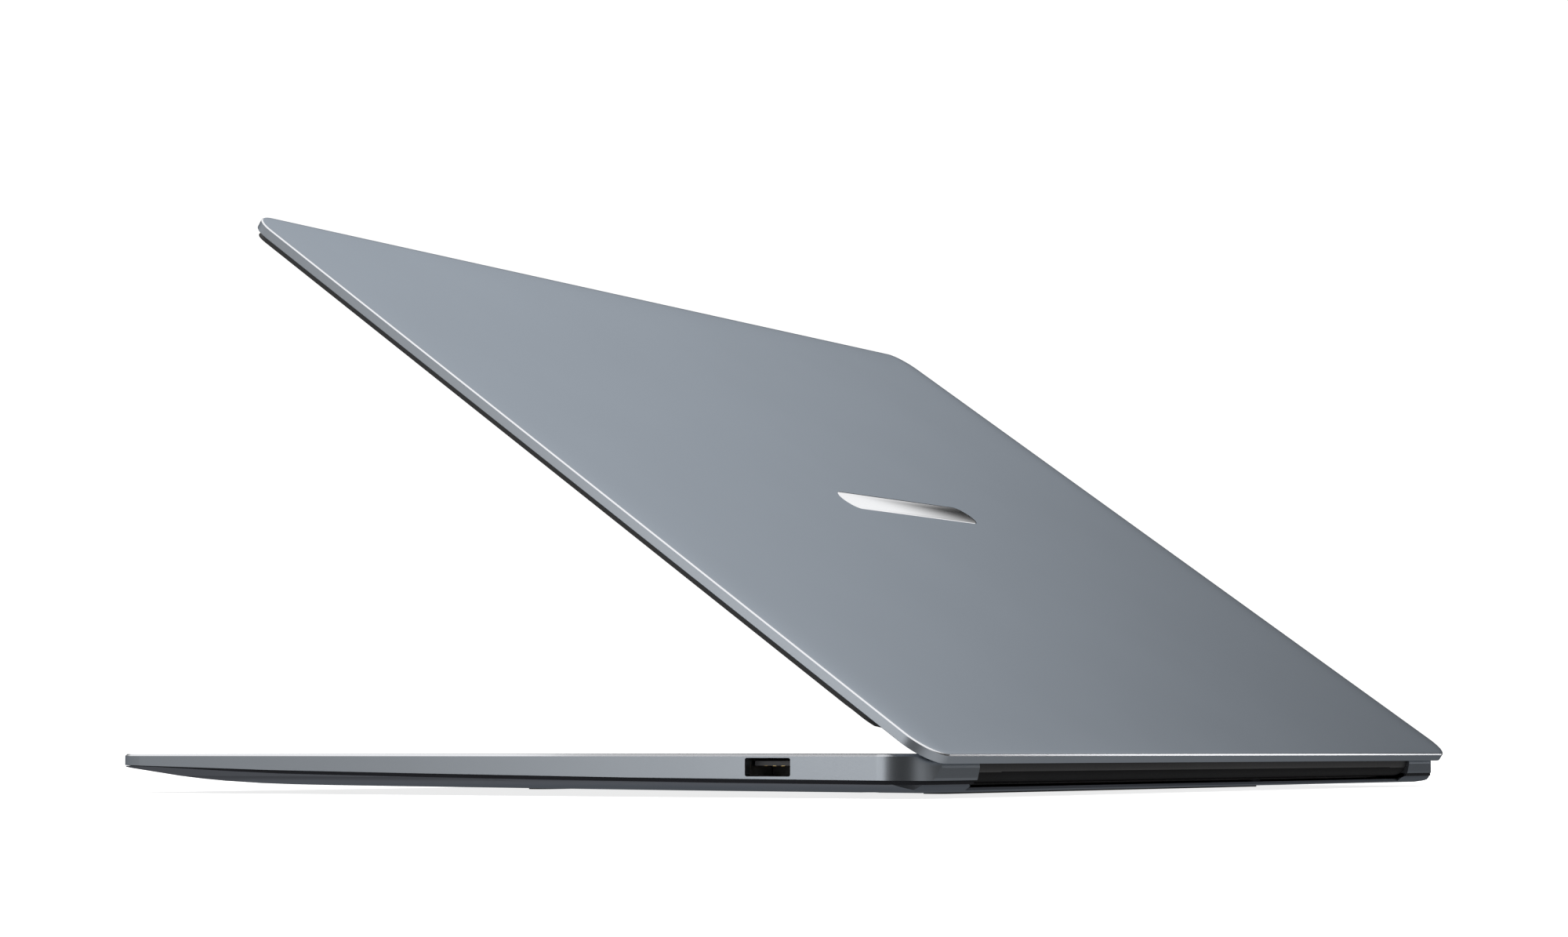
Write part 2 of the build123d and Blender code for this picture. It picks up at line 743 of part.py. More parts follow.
def lid_emblem():
    """Plain polished bar set into the lid."""
    return in_lid(emblem_form(39.0, 4.5, LID_OUTER - 0.11, LID_OUTER + 0.02))


def display_bezel():
    """Black screen frame standing proud of the metal rim."""
    top = LID_OUTER - LID_T - 0.03
    x = HALF - BEZEL_INSET
    front = LID_TAIL - LID_DEPTH + BEZEL_INSET
    rear = LID_TAIL - 13.5
    body = rounded(-x, x, front, rear, BEZEL_FACE, top, 7.4)
    wedge = [
        (rear + 1, top + 0.01),
        (rear, top + 0.01),
        (rear - 4.0, BEZEL_FACE - 0.01),
        (rear - 4.0, BEZEL_FACE - 1),
        (rear + 1, BEZEL_FACE - 1),
    ]
    body = body - drawn_across(wedge, HALF + 5)
    body = body - slab(-172.6, 172.6, -236.8, -21.2, 0, 8)
    return in_lid(body - rod_z(0, -239.3, 0, 8, 1.3))


def display_glass():
    """Front glass of the screen."""
    return in_lid(slab(-172.4, 172.4, -236.6, -21.4, 3.05, 3.75))


def display_panel():
    """Panel and its driver board behind the glass."""
    body = slab(-173.5, 173.5, -238.2, -20.2, 4.3, 5.2)
    body = body + slab(-172.2, 172.2, -236.4, -21.6, 3.8, 4.35)
    return in_lid(body + slab(-110, 110, -32, -22, 5.15, 5.9))


def hinge_cover():
    """Black barrel that closes the gap between lid and base."""
    x = BARREL_HALF
    flat = 4.22
    body = rod_x(-x, x, 0, 0, BARREL_R) - rod_x(-x, x, 0, 0, 3.6)
    body = body & slab(-x, x, -6, 6, -6, flat)
    body = body + slab(-x, x, -7.0, -2.2, 3.0, flat)
    body = body + slab(-x, x, -19.5, -6.9, 3.0, flat)
    body = body - slab(-x - 1, x + 1, -21, -7.3, 0, 8)
    return in_lid(body - slab(39, 61, -2.4, -0.2, 2.5, 6))


def hinge_arm(side):
    """Moving half of a hinge: shaft, knuckle and a plate under the lid skin."""
    shaft = rod_x(ARM_IN, MOUNT_OUT - 0.3, 0, 0, SHAFT_R)
    knuckle = rod_x(ARM_IN, ARM_OUT, 0, 0, KNUCKLE_R)
    blade = slab(ARM_IN, ARM_OUT, -2.5, 2.5, 0, 6.18)
    plate = slab(112, ARM_OUT, -19, 2.5, 5.35, 6.18)
    body = shaft + knuckle + blade + plate
    for x in (117, 126):
        body = body - rod_z(x, -9, 5, 7, 1.15) - rod_z(x, -15, 5, 7, 1.15)
    body = in_lid(body)
    return body if side > 0 else mirror(body, about=Plane.YZ)


def arm_screws():
    """Screws that fasten the hinge plates to the lid."""
    pieces = []
    for side in (-1, 1):
        for x in (117, 126):
            for y in (-9, -15):
                head = rod_z(side * x, y, 4.7, 5.3, 1.9)
                pieces.append(in_lid(head + rod_z(side * x, y, 5.2, 6.15, 1.0)))
    return group(pieces)


def webcam():
    """Camera lens and its narrow board above the screen."""
    lens = rod_z(0, -239.3, 2.95, 4.35, 1.15)
    return in_lid(lens + slab(-14, 14, -240.9, -238.6, 4.3, 5.0))


def antenna_strips():
    """Two thin antennas along the free edge of the lid."""
    pieces = []
    for x in (-90, 90):
        pieces.append(in_lid(slab(x - 28, x + 28, -240.8, -233, 5.4, 5.9)))
    return group(pieces)


def display_cable():
    """Flat cable from the panel board into the hinge barrel."""
    body = slab(42, 58, -21.9, -1.6, 5.55, 5.75)
    body = body + slab(42, 58, -1.6, -1.4, 1.5, 5.75)
    return in_lid(body + slab(42, 58, -1.5, 1.5, 1.5, 1.7))


NODES = {
    "top_case": lambda: top_case(),
    "bottom_cover": lambda: bottom_cover(),
    "bottom_screws": lambda: bottom_screws(),
    "front_foot": lambda: front_foot(),
    "rear_foot": lambda: rear_foot(),
    "hinge_trough": lambda: hinge_trough(),
    "keyboard_tray": lambda: keyboard_tray(),
    "keyboard_membrane": lambda: keyboard_membrane(),
    "touchpad": lambda: touchpad(),
    "touchpad_board": lambda: touchpad_board(),
    "power_button": lambda: power_button(),
    "main_board": lambda: main_board(),
    "processor": lambda: processor(),
    "memory_chips": lambda: memory_chips(),
    "heat_pipe": lambda: heat_pipe(),
    "heatsink_fins": lambda: heatsink_fins(),
    "fan_housing": lambda: fan_housing(),
    "fan_impeller": lambda: fan_impeller(),
    "solid_state_drive": lambda: solid_state_drive(),
    "wireless_card": lambda: wireless_card(),
    "battery_pack": lambda: battery_pack(),
    "speaker_left": lambda: speaker(-1),
    "speaker_right": lambda: speaker(1),
    "io_boards": lambda: io_boards(),
    "usb_a_shells": lambda: usb_a_shells(),
    "usb_a_tongues": lambda: usb_a_tongues(),
    "usb_c_socket": lambda: usb_c_socket(),
    "hdmi_socket": lambda: hdmi_socket(),
    "audio_jack": lambda: audio_jack(),
    "board_screws": lambda: board_screws(),
    "touchpad_cable": lambda: touchpad_cable(),
    "hinge_mount_left": lambda: hinge_mount(-1),
    "hinge_mount_right": lambda: hinge_mount(1),
    "lid_cover": lambda: lid_cover(),
    "lid_emblem": lambda: lid_emblem(),
    "display_bezel": lambda: display_bezel(),
    "display_glass": lambda: display_glass(),
    "display_panel": lambda: display_panel(),
    "hinge_cover": lambda: hinge_cover(),
    "hinge_arm_left": lambda: hinge_arm(-1),
    "hinge_arm_right": lambda: hinge_arm(1),
    "arm_screws": lambda: arm_screws(),
    "webcam": lambda: webcam(),
    "antenna_strips": lambda: antenna_strips(),
    "display_cable": lambda: display_cable(),
    "keys_function_row": lambda: group(key_row(0, [1] * 15, 0, 14)),
    "keys_number_row": lambda: group(key_row(1, NUMBER_UNITS, 0, 12)),
    "key_backspace": lambda: group(key_row(1, NUMBER_UNITS, 13, 13)),
    "keys_upper_row": lambda: group(key_row(2, UPPER_UNITS, 0, 13)),
    "key_caps_lock": lambda: group(key_row(3, HOME_UNITS, 0, 0)),
    "keys_home_row": lambda: group(key_row(3, HOME_UNITS, 1, 11)),
    "key_enter": lambda: group(key_row(3, HOME_UNITS, 12, 12)),
    "key_left_shift": lambda: group(key_row(4, LOWER_UNITS, 0, 0)),
    "keys_lower_row": lambda: group(key_row(4, LOWER_UNITS, 1, 10)),
    "key_right_shift": lambda: group(key_row(4, LOWER_UNITS, 11, 11)),
    "keys_modifiers": lambda: group(modifier_keys()),
    "key_space": lambda: group(key_row(5, BOTTOM_UNITS, 4, 4)),
    "keys_arrows": lambda: group(arrow_keys()),
    "keys_number_pad": lambda: group(number_pad()),
}


os.makedirs("parts", exist_ok=True)
for name, make in NODES.items():
    shape = make()
    shape.label = name
    export_step(shape, f"parts/{name}.step")
    box = shape.bounding_box()
    print(name, len(shape.solids()), box.min, box.max)
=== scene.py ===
import json
import math

import bmesh
import bpy
from mathutils import Matrix, Vector


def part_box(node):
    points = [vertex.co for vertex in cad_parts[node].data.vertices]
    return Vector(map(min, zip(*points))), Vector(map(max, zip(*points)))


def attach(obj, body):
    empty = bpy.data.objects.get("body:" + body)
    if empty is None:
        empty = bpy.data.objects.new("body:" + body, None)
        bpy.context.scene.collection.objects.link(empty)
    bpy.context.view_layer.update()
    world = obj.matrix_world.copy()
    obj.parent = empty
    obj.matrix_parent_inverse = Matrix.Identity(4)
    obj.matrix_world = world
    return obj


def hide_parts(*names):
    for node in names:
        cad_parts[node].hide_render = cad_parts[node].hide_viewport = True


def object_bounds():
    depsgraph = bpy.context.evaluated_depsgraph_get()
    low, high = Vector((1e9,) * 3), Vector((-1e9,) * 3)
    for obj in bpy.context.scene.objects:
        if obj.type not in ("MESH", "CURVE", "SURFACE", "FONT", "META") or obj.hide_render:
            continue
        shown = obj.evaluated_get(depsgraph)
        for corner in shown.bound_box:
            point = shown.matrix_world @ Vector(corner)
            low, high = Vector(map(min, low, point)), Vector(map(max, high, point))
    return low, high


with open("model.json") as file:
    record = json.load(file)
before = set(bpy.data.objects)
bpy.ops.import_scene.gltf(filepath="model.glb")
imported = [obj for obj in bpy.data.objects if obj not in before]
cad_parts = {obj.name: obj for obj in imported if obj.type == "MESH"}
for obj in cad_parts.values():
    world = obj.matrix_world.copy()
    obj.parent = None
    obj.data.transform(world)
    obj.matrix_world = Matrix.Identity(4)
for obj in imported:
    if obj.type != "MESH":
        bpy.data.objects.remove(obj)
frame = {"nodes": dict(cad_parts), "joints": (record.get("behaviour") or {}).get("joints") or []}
cad_lo, cad_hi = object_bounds()

MM = 0.001
MM_SCALE = Matrix.Scale(MM, 4)

# The lid's own frame: millimetres from the hinge axis, with the lid shut
HINGE = [joint for joint in frame["joints"] if joint["name"] == "lid_hinge"][0]
SHUT_TURN = math.radians(HINGE["range_deg"][0])
LID_MM = Matrix.Translation(Vector(HINGE["pos_m"])) @ Matrix.Rotation(SHUT_TURN, 4, "X") @ MM_SCALE


# ---------------------------------------------------------------- materials


def new_material(name, color, metallic, rough, **sockets):
    """Principled material; returns (material, nodes, links, shader)."""
    mat = bpy.data.materials.new(name)
    mat.use_nodes = True
    nodes = mat.node_tree.nodes
    shader = nodes["Principled BSDF"]
    shader.inputs["Base Color"].default_value = (*color, 1)
    shader.inputs["Metallic"].default_value = metallic
    shader.inputs["Roughness"].default_value = rough
    for key, value in sockets.items():
        shader.inputs[key.replace("_", " ")].default_value = value
    return mat, nodes, mat.node_tree.links, shader


def noise(nodes, links, scale, detail, stretch=(1, 1, 1)):
    """Noise in object coordinates; returns its Fac output."""
    coord = nodes.new("ShaderNodeTexCoord")
    mapping = nodes.new("ShaderNodeMapping")
    mapping.inputs["Scale"].default_value = stretch
    tex = nodes.new("ShaderNodeTexNoise")
    tex.inputs["Scale"].default_value = scale
    tex.inputs["Detail"].default_value = detail
    links.new(coord.outputs["Object"], mapping.inputs["Vector"])
    links.new(mapping.outputs["Vector"], tex.inputs["Vector"])
    return tex.outputs["Fac"]


def ramp(nodes, links, source, stops):
    """Colour ramp over a factor; stops are (position, colour)."""
    node = nodes.new("ShaderNodeValToRGB")
    elements = node.color_ramp.elements
    while len(elements) < len(stops):
        elements.new(0.5)
    for element, (pos, color) in zip(elements, stops):
        element.position = pos
        element.color = (*color, 1)
    links.new(source, node.inputs["Fac"])
    return node.outputs["Color"]


def remap(nodes, links, source, lo, hi, start=0.0, end=1.0, kind="LINEAR"):
    """A factor moved from the range start to end into the range lo to hi."""
    node = nodes.new("ShaderNodeMapRange")
    node.interpolation_type = kind
    node.inputs["From Min"].default_value = start
    node.inputs["From Max"].default_value = end
    node.inputs["To Min"].default_value = lo
    node.inputs["To Max"].default_value = hi
    links.new(source, node.inputs["Value"])
    return node.outputs["Result"]


def vary_roughness(nodes, links, shader, source, rough, less, more):
    """Roughness that swings round its middle value with a factor."""
    spread = remap(nodes, links, source, rough - less, rough + more)
    links.new(spread, shader.inputs["Roughness"])


def vary_color(nodes, links, shader, source, color, low, high):
    """Base colour that swings with a factor; low and high are (position, brightness)."""
    stops = [(low[0], shade(color, low[1])), (high[0], shade(color, high[1]))]
    links.new(ramp(nodes, links, source, stops), shader.inputs["Base Color"])


def bump(nodes, links, shader, source, strength, distance):
    """Fine relief on a shader's normal."""
    node = nodes.new("ShaderNodeBump")
    node.inputs["Strength"].default_value = strength
    node.inputs["Distance"].default_value = distance
    links.new(source, node.inputs["Height"])
    links.new(node.outputs["Normal"], shader.inputs["Normal"])


def shade(color, k):
    """A colour made lighter or darker by a factor."""
    return tuple(c * k for c in color)


def anodised(name, color, rough):
    """Bead-blasted, anodised aluminium: fine grain and a faint cloudiness."""
    mat, nodes, links, shader = new_material(name, color, 1.0, rough)
    shader.inputs["Specular Tint"].default_value = (0.68, 0.73, 0.79, 1)
    cloud = noise(nodes, links, 22.0, 2.0)
    vary_color(nodes, links, shader, cloud, color, (0.3, 0.985), (0.7, 1.015))
    grain = noise(nodes, links, 5200.0, 1.0)
    vary_roughness(nodes, links, shader, grain, rough, 0.035, 0.035)
    bump(nodes, links, shader, grain, 0.06, 0.02 * MM)
    return mat


def polished(name, color, rough):
    """Cut and polished metal with faint tool marks."""
    mat, nodes, links, shader = new_material(name, color, 1.0, rough)
    marks = noise(nodes, links, 900.0, 2.0, (1, 1, 6))
    vary_roughness(nodes, links, shader, marks, rough, 0.03, 0.05)
    bump(nodes, links, shader, marks, 0.02, 0.01 * MM)
    return mat


def moulded(name, color, rough, grain_scale=2600.0, relief=0.12, **sockets):
    """Moulded plastic with a fine spark-eroded grain."""
    mat, nodes, links, shader = new_material(name, color, 0.0, rough, **sockets)
    grain = noise(nodes, links, grain_scale, 3.0)
    cloud = noise(nodes, links, 60.0, 2.0)
    vary_color(nodes, links, shader, cloud, color, (0.3, 0.9), (0.7, 1.12))
    vary_roughness(nodes, links, shader, grain, rough, 0.06, 0.06)
    bump(nodes, links, shader, grain, relief, 0.03 * MM)
    return mat


def sheet_metal(name, color, rough, stretch=(1, 12, 1)):
    """Plain rolled or plated sheet with directional streaks."""
    mat, nodes, links, shader = new_material(name, color, 1.0, rough)
    streak = noise(nodes, links, 420.0, 4.0, stretch)
    vary_color(nodes, links, shader, streak, color, (0.25, 0.88), (0.75, 1.08))
    vary_roughness(nodes, links, shader, streak, rough, 0.08, 0.1)
    bump(nodes, links, shader, streak, 0.05, 0.02 * MM)
    return mat


def circuit_board(name):
    """Solder mask over copper areas and traces."""
    dark = (0.006, 0.05, 0.03)
    light = (0.02, 0.12, 0.07)
    mat, nodes, links, shader = new_material(name, dark, 0.0, 0.35)
    coord = nodes.new("ShaderNodeTexCoord")
    tex = nodes.new("ShaderNodeTexVoronoi")
    tex.feature = "DISTANCE_TO_EDGE"
    tex.inputs["Scale"].default_value = 240.0
    links.new(coord.outputs["Object"], tex.inputs["Vector"])
    traces = ramp(nodes, links, tex.outputs["Distance"], [(0.04, light), (0.1, dark)])
    links.new(traces, shader.inputs["Base Color"])
    bump(nodes, links, shader, tex.outputs["Distance"], 0.1, 0.03 * MM)
    return mat


def screen_glass(name, color):
    """Dark glossy cover glass with faint clouds and smears."""
    mat, nodes, links, shader = new_material(name, color, 0.0, 0.06)
    shader.inputs["Coat Weight"].default_value = 1.0
    shader.inputs["Coat Roughness"].default_value = 0.03
    cloud = noise(nodes, links, 14.0, 2.0)
    vary_color(nodes, links, shader, cloud, color, (0.2, 0.8), (0.8, 1.25))
    smear = noise(nodes, links, 45.0, 4.0, (1, 3, 1))
    links.new(remap(nodes, links, smear, 0.05, 0.11), shader.inputs["Roughness"])
    return mat


def pad_glass(name, color):
    """Etched touchpad glass, close to the shell's colour."""
    mat, nodes, links, shader = new_material(name, color, 0.55, 0.34)
    grain = noise(nodes, links, 6000.0, 1.0)
    links.new(remap(nodes, links, grain, 0.3, 0.38), shader.inputs["Roughness"])
    cloud = noise(nodes, links, 30.0, 2.0)
    vary_color(nodes, links, shader, cloud, color, (0.3, 0.98), (0.7, 1.02))
    bump(nodes, links, shader, grain, 0.04, 0.01 * MM)
    return mat


# Finish key: material with its name, colour and roughness
MAT = {
    "shell": anodised("anodised_shell_finish", (0.375, 0.405, 0.441), 0.31),
    "cover": anodised("anodised_cover_finish", (0.115, 0.122, 0.138), 0.4),
    "edge": polished("polished_edge_finish", (0.94, 0.95, 0.98), 0.2),
    "inlay": polished("polished_inlay_finish", (0.9, 0.91, 0.93), 0.07),
    "frame": moulded("black_frame_finish", (0.009, 0.009, 0.01), 0.5),
    "hinge": moulded(
        "black_hinge_finish", (0.01, 0.01, 0.0105), 0.4, 1800.0, 0.06, Specular_IOR_Level=0.5,
    ),
    # Darker, rougher copy of the black hinge plastic: painted shade for the barrel's downward faces
    "hinge_shaded": moulded(
        "hinge_underside_painted_shade", (0.003, 0.003, 0.0035), 0.75, 1500.0, 0.1, Specular_IOR_Level=0.1,
    ),
    "key": moulded("key_plastic_finish", (0.022, 0.023, 0.026), 0.55, 3200.0, 0.16),
    "mark": moulded("key_mark_finish", (0.62, 0.63, 0.65), 0.5),
    "rubber": moulded("foot_rubber_finish", (0.02, 0.02, 0.02), 0.75, 1500.0, 0.25),
    # Near-black, almost matte strip colour: painted shade in the recess between the side walls and the
    # bottom cover
    "seam_shade": moulded(
        "seam_painted_shade_finish", (0.006, 0.0065, 0.009), 0.8, 1500.0, 0.2, Specular_IOR_Level=0.2,
    ),
    "dome": moulded("dome_rubber_finish", (0.06, 0.06, 0.065), 0.7, 1500.0, 0.2),
    "chip": moulded("chip_black_finish", (0.02, 0.02, 0.022), 0.45, 1900.0, 0.1),
    "battery": moulded("battery_skin_finish", (0.03, 0.03, 0.033), 0.6, 800.0, 0.2),
    "ribbon": moulded("ribbon_finish", (0.18, 0.09, 0.02), 0.35, 500.0, 0.05),
    "contact": moulded("contact_plastic_finish", (0.05, 0.05, 0.052), 0.45, 1800.0, 0.08),
    "steel": sheet_metal("steel_parts_finish", (0.46, 0.46, 0.47), 0.38),
    "knuckle": sheet_metal("black_steel_finish", (0.035, 0.035, 0.037), 0.4),
    "socket": sheet_metal("socket_metal_finish", (0.62, 0.62, 0.62), 0.3),
    "fins": sheet_metal("fin_metal_finish", (0.72, 0.73, 0.74), 0.34),
    "panel": sheet_metal("panel_back_finish", (0.4, 0.41, 0.42), 0.45, (12, 1, 1)),
    "copper": sheet_metal("copper_pipe_finish", (0.78, 0.36, 0.2), 0.32),
    "gold": sheet_metal("gold_contact_finish", (0.85, 0.62, 0.25), 0.25),
    "board": circuit_board("board_green_finish"),
    "glass": screen_glass("screen_glass_finish", (0.006, 0.0065, 0.008)),
    "pad": pad_glass("pad_glass_finish", (0.24, 0.262, 0.29)),
}

# Finish key: CAD nodes that wear it; every node whose name begins with key_ or keys_ wears "key"
NODE_FINISH = {
    "shell": ["top_case", "power_button", "lid_cover"],
    "cover": ["bottom_cover"],
    "inlay": ["lid_emblem"],
    "frame": ["display_bezel", "keyboard_tray", "fan_housing", "speaker_left", "speaker_right"],
    "hinge": ["hinge_cover", "hinge_trough", "fan_impeller"],
    "knuckle": ["hinge_mount_left", "hinge_mount_right", "hinge_arm_left", "hinge_arm_right"],
    "rubber": ["front_foot", "rear_foot"],
    "dome": ["keyboard_membrane"],
    "chip": ["processor", "memory_chips", "solid_state_drive", "webcam"],
    "battery": ["battery_pack"],
    "ribbon": ["touchpad_cable", "display_cable"],
    "contact": ["usb_a_tongues", "audio_jack"],
    "steel": ["bottom_screws", "board_screws", "arm_screws"],
    "socket": ["usb_a_shells", "usb_c_socket", "hdmi_socket", "wireless_card"],
    "fins": ["heatsink_fins"],
    "panel": ["display_panel"],
    "copper": ["heat_pipe", "antenna_strips"],
    "board": ["main_board", "io_boards", "touchpad_board"],
    "glass": ["display_glass"],
    "pad": ["touchpad"],
}


KEY_NODES = sorted(name for name in frame["nodes"] if name.startswith(("key_", "keys_")))

# Which faces get a second finish, by height, area or the z part of their normal
CHAMFER_BAND = 0.5 * MM
CHAMFER_LEAN = (0.5, 0.9)
UNDERSIDE_LEAN = -0.45
CONTACT_LOW = 7.33 * MM
CONTACT_HIGH = CONTACT_LOW + 0.12 * MM
CONTACT_AREA = 8 * MM * MM


def paint(obj, key):
    """Gives an object one material."""
    obj.data.materials.clear()
    obj.data.materials.append(MAT[key])


def paint_faces(obj, key, chosen):
    """Gives the faces that a test picks a further material."""
    obj.data.materials.append(MAT[key])
    slot = len(obj.data.materials) - 1
    for face in obj.data.polygons:
        if chosen(face):
            face.material_index = slot


def polish_chamfer(obj, deck_z):
    """Polished finish for the narrow sloping faces beside the deck."""
    low = deck_z - CHAMFER_BAND
    flattest, steepest = CHAMFER_LEAN[1], CHAMFER_LEAN[0]
    paint_faces(obj, "edge", lambda face: face.center.z > low and steepest < face.normal.z < flattest)


def paint_underside_shade(obj):
    """Darker, rougher copy of the hinge finish for the faces of the hinge barrel that point down at rest:
    painted shade.
    """
    paint_faces(obj, "hinge_shaded", lambda face: face.normal.z < UNDERSIDE_LEAN)


def is_contact(face):
    """True for a contact pad of the socket tongues."""
    return face.area < CONTACT_AREA and CONTACT_LOW < face.center.z < CONTACT_HIGH


for finish, names in NODE_FINISH.items():
    for node_name in names:
        paint(frame["nodes"][node_name], finish)
for node_name in KEY_NODES:
    paint(frame["nodes"][node_name], "key")
polish_chamfer(frame["nodes"]["top_case"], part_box("top_case")[1].z)
# Painted shade: the barrel's downward faces get a darker copy of its finish
paint_underside_shade(frame["nodes"]["hinge_cover"])
paint_faces(frame["nodes"]["usb_a_tongues"], "gold", is_contact)


# ---------------------------------------------------------------- mesh helpers


def rounded_ring(half_x, y0, y1, r, steps):
    """Points of a rounded rectangle, anticlockwise, symmetric about x = 0."""
    points = []
    right = half_x - r
    corners = [(right, y0 + r, -90), (right, y1 - r, 0), (-right, y1 - r, 90), (-right, y0 + r, 180)]
    for cx, cy, start in corners:
        for i in range(steps + 1):
            a = math.radians(start + 90 * i / steps)
            points.append((cx + r * math.cos(a), cy + r * math.sin(a)))
    return points


def add_ring(bm, points, z):
    """Vertices of one level."""
    return [bm.verts.new((x, y, z)) for x, y in points]


def bridge(bm, a, b, slot=0):
    """Quads between two levels with equal counts."""
    n = len(a)
    for i in range(n):
        j = (i + 1) % n
        face = bm.faces.new((a[i], a[j], b[j], b[i]))
        face.material_index = slot


def cap(bm, ring, slot=0):
    """Closes a level with one face."""
    face = bm.faces.new(ring)
    face.material_index = slot


def stack(bm, rings, slots=None, open_end=False):
    """Walls between levels, closed at the first one and, unless left open, at the last."""
    slots = slots or [0] * len(rings)
    cap(bm, list(reversed(rings[0])), slots[0])
    for a, b, slot in zip(rings, rings[1:], slots[1:]):
        bridge(bm, a, b, slot)
    if not open_end:
        cap(bm, rings[-1], slots[-1])


def add_object(name, data):
    """New object in the scene."""
    obj = bpy.data.objects.new(name, data)
    bpy.context.scene.collection.objects.link(obj)
    return obj


def finish_piece(bm, name, matrix, keys, smooth_deg):
    """Object from a bmesh, brought to metres at its place in the rest pose."""
    bmesh.ops.recalc_face_normals(bm, faces=bm.faces)
    mesh = bpy.data.meshes.new(name)
    bm.to_mesh(mesh)
    bm.free()
    mesh.transform(matrix)
    for poly in mesh.polygons:
        poly.use_smooth = True
    mesh.set_sharp_from_angle(angle=math.radians(smooth_deg))
    for key in keys:
        mesh.materials.append(MAT[key])
    return add_object(name, mesh)


# ---------------------------------------------------------------- lid shell

# All in mm in the lid's own frame, where y is 0 at the hinge axis and negative towards the front edge
LID_HALF = 178.35
LID_REAR = 6.3
LID_FRONT = -242.4
LID_OUTER = 7.13
LID_INNER = 4.28
LID_RADIUS = 9.0
LID_RADIUS_MIN = 2.0
LID_SKIN = 0.9
LID_RIM = 0.8
LID_CORNER_STEPS = 12

# Levels of the lid shell from inside the rim to the flat top: (inset, z, material slot of the band
# that ends there). Slot 1 is the polished chamfer.
LID_PROFILE = [
    (LID_RIM, LID_OUTER - LID_SKIN, 0),
    (LID_RIM, LID_INNER + 0.1, 0),
    (LID_RIM - 0.1, LID_INNER, 0),
    (0.12, LID_INNER, 0),
    (0.0, LID_INNER + 0.12, 0),
    (0.0, LID_OUTER - 0.6, 0),
    (0.03, LID_OUTER - 0.56, 1),
    (0.33, LID_OUTER - 0.27, 1),
    (0.4, LID_OUTER - 0.24, 0),
    (1.5, LID_OUTER - 0.178, 0),
    (3.0, LID_OUTER - 0.12, 0),
    (5.0, LID_OUTER - 0.066, 0),
    (8.0, LID_OUTER - 0.023, 0),
    (12.0, LID_OUTER - 0.003, 0),
    (16.0, LID_OUTER, 0),
]

# Polished bar and the pocket that it lies in; END_GAP keeps an end's two arcs from sharing a point
BAR_Y = -119.5
BAR_HALF_X = 39.0
BAR_HALF_Y = 4.5
BAR_STEPS = 16
BAR_PROFILE = [(0.0, -0.1), (0.0, -0.02), (0.12, 0.012), (0.3, 0.02)]
POCKET_HALF_X = 39.1
POCKET_HALF_Y = 4.6
POCKET_DEPTH = 0.1
END_GAP = 0.01


def lid_ring(bm, inset, z):
    """One level of the lid outline, drawn in by inset."""
    radius = max(LID_RADIUS - inset, LID_RADIUS_MIN)
    half_x = LID_HALF - inset
    points = rounded_ring(half_x, LID_FRONT + inset, LID_REAR - inset, radius, LID_CORNER_STEPS)
    return add_ring(bm, points, z)


def bar_ring(bm, half_x, half_y, z, steps):
    """One level of a bar with round ends, at the bar's place on the lid."""
    points = rounded_ring(half_x, BAR_Y - half_y, BAR_Y + half_y, half_y - END_GAP, steps)
    return add_ring(bm, points, z)


def fill_between(bm, outer, inner):
    """Flat faces between an outer level and a hole."""
    edges = []
    for ring in (outer, inner):
        for start, end in zip(ring, ring[1:] + ring[:1]):
            edge = bm.edges.get((start, end))
            edges.append(edge or bm.edges.new((start, end)))
    bmesh.ops.triangle_fill(bm, edges=edges, use_beauty=True)


def lid_shell():
    """Lid cover with a polished chamfer and a soft roll-off towards its edges."""
    bm = bmesh.new()
    rings = [lid_ring(bm, inset, z) for inset, z, slot in LID_PROFILE]
    stack(bm, rings, [slot for inset, z, slot in LID_PROFILE], open_end=True)
    mouth = bar_ring(bm, POCKET_HALF_X, POCKET_HALF_Y, LID_OUTER, LID_CORNER_STEPS)
    floor = bar_ring(bm, POCKET_HALF_X, POCKET_HALF_Y, LID_OUTER - POCKET_DEPTH, LID_CORNER_STEPS)
    bridge(bm, mouth, floor)
    cap(bm, floor)
    fill_between(bm, rings[-1], mouth)
    piece = finish_piece(bm, "lid_shell", LID_MM, ["shell", "edge"], 25)
    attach(piece, "lid")
    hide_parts("lid_cover")


def emblem_bar():
    """Plain polished bar with a softly domed edge."""
    bm = bmesh.new()
    rings = []
    for inset, rise in BAR_PROFILE:
        rings.append(bar_ring(bm, BAR_HALF_X - inset, BAR_HALF_Y - inset, LID_OUTER + rise, BAR_STEPS))
    stack(bm, rings)
    piece = finish_piece(bm, "emblem_bar", LID_MM, ["inlay"], 40)
    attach(piece, "lid")
    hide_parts("lid_emblem")


# Barrel ends: their arc in degrees, (radius, height of the flat top) outside and inside, ends along x
SLEEVE_START = -49
SLEEVE_SWEEP = 212
SLEEVE_STEPS = 48
SLEEVE_OUTER = (4.8, 4.22)
SLEEVE_INNER = (4.32, 4.05)
SLEEVE_X = (134.3, 148.1)


def sleeve_arc(radius, flat):
    """Points (y, z) of one face of the sleeve, cut flat under the lid."""
    points = []
    for i in range(SLEEVE_STEPS + 1):
        a = math.radians(SLEEVE_START + SLEEVE_SWEEP * i / SLEEVE_STEPS)
        points.append((radius * math.cos(a), min(radius * math.sin(a), flat)))
    return points


